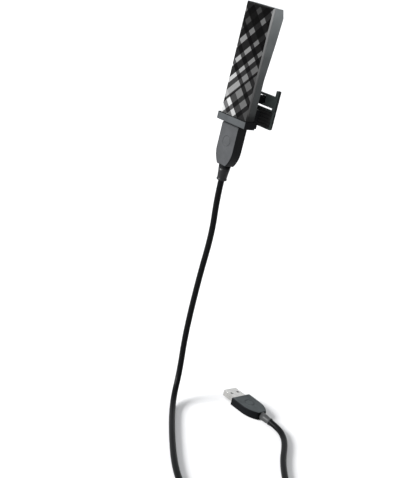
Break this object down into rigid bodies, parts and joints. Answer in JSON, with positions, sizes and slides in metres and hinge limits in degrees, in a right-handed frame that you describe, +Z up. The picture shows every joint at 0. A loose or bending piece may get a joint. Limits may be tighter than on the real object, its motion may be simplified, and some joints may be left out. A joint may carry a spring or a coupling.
{
  "type": "usb wifi adapter",
  "caption": "USB wifi stick with a check-patterned glossy cover, standing in a spring-clip cradle with a USB extension cable that ends in a type A plug.",
  "frame": {"origin": "mount lid_clip: middle of the stick's width, on the top front corner of the panel edge that the clip hangs on", "axes": "+Z up along the stick, +X across its width, +Y from the patterned cover towards the jaw"},
  "size_m": [0.1877, 0.1304, 0.291],
  "materials": {
    "patterned_cover": "glossy black with a woven-look grey check",
    "case_grey": "fine moulded grain",
    "button_grey": "satin",
    "cradle_black": "fine moulded grain",
    "grip_rubber": "ribbed",
    "pin_steel": "drawn wire",
    "board_green": "solder mask",
    "can_steel": "pressed tin plate",
    "chip_black": "moulded epoxy",
    "heat_pad": "soft silicone",
    "antenna_metal": "pressed sheet",
    "capacitor_tan": "ceramic",
    "switch_white": "moulded",
    "clear_pipe": "clear moulded",
    "led_white": "moulded",
    "plug_nickel": "nickel plated sheet",
    "tongue_black": "moulded",
    "contact_gold": "gold flash",
    "cable_moulding": "soft moulded",
    "cable_jacket": "smooth jacket",
    "strap_fabric": "hook and loop"
  },
  "bodies": {
    "cradle": {"cradle_body": "cradle_black", "front_pad": "grip_rubber", "hinge_pin": "pin_steel", "torsion_spring": "pin_steel", "socket_shell": "plug_nickel", "socket_tongue": "tongue_black", "socket_contacts": "contact_gold", "socket_grip": "cable_moulding", "socket_relief": "cable_moulding", "cable_drop": "cable_jacket", "cable_coil": "cable_jacket", "cable_tie": "strap_fabric", "cable_lead": "cable_jacket", "plug_relief": "cable_moulding", "plug_grip": "cable_moulding", "far_plug_shell": "plug_nickel", "far_plug_tongue": "tongue_black", "far_plug_contacts": "contact_gold"},
    "jaw": {"clamp_jaw": "cradle_black", "jaw_pad": "grip_rubber"},
    "stick": {"front_cover": "patterned_cover", "rear_shell": "case_grey", "circuit_board": "board_green", "shield_can": "can_steel", "wifi_chip": "chip_black", "thermal_pad": "heat_pad", "antenna_left": "antenna_metal", "antenna_right": "antenna_metal", "memory_chip": "chip_black", "crystal": "can_steel", "chip_capacitors": "capacitor_tan", "wps_switch": "switch_white", "light_pipe": "clear_pipe", "activity_led": "led_white", "usb_plug_shell": "plug_nickel", "usb_plug_tongue": "tongue_black", "usb_plug_contacts": "contact_gold"},
    "button": {"wps_button": "button_grey"}
  },
  "joints": [
    {"name": "jaw_hinge", "type": "hinge", "parent": "cradle", "child": "jaw", "pos_m": [0, 0.0064, 0.0046], "axis": [1, 0, 0], "range_deg": [0, 25], "stiffness_Nm_per_rad": 0.02, "springref_deg": -28.65},
    {"name": "stick_lift", "type": "slide", "parent": "cradle", "child": "stick", "axis": [0, 0, 1], "range_m": [0, 0.024]},
    {"name": "button_press", "type": "slide", "parent": "stick", "child": "button", "axis": [1, 0, 0], "range_m": [0, 0.0004], "stiffness_N_per_m": 1500, "springref_m": -0.0004}
  ]
}
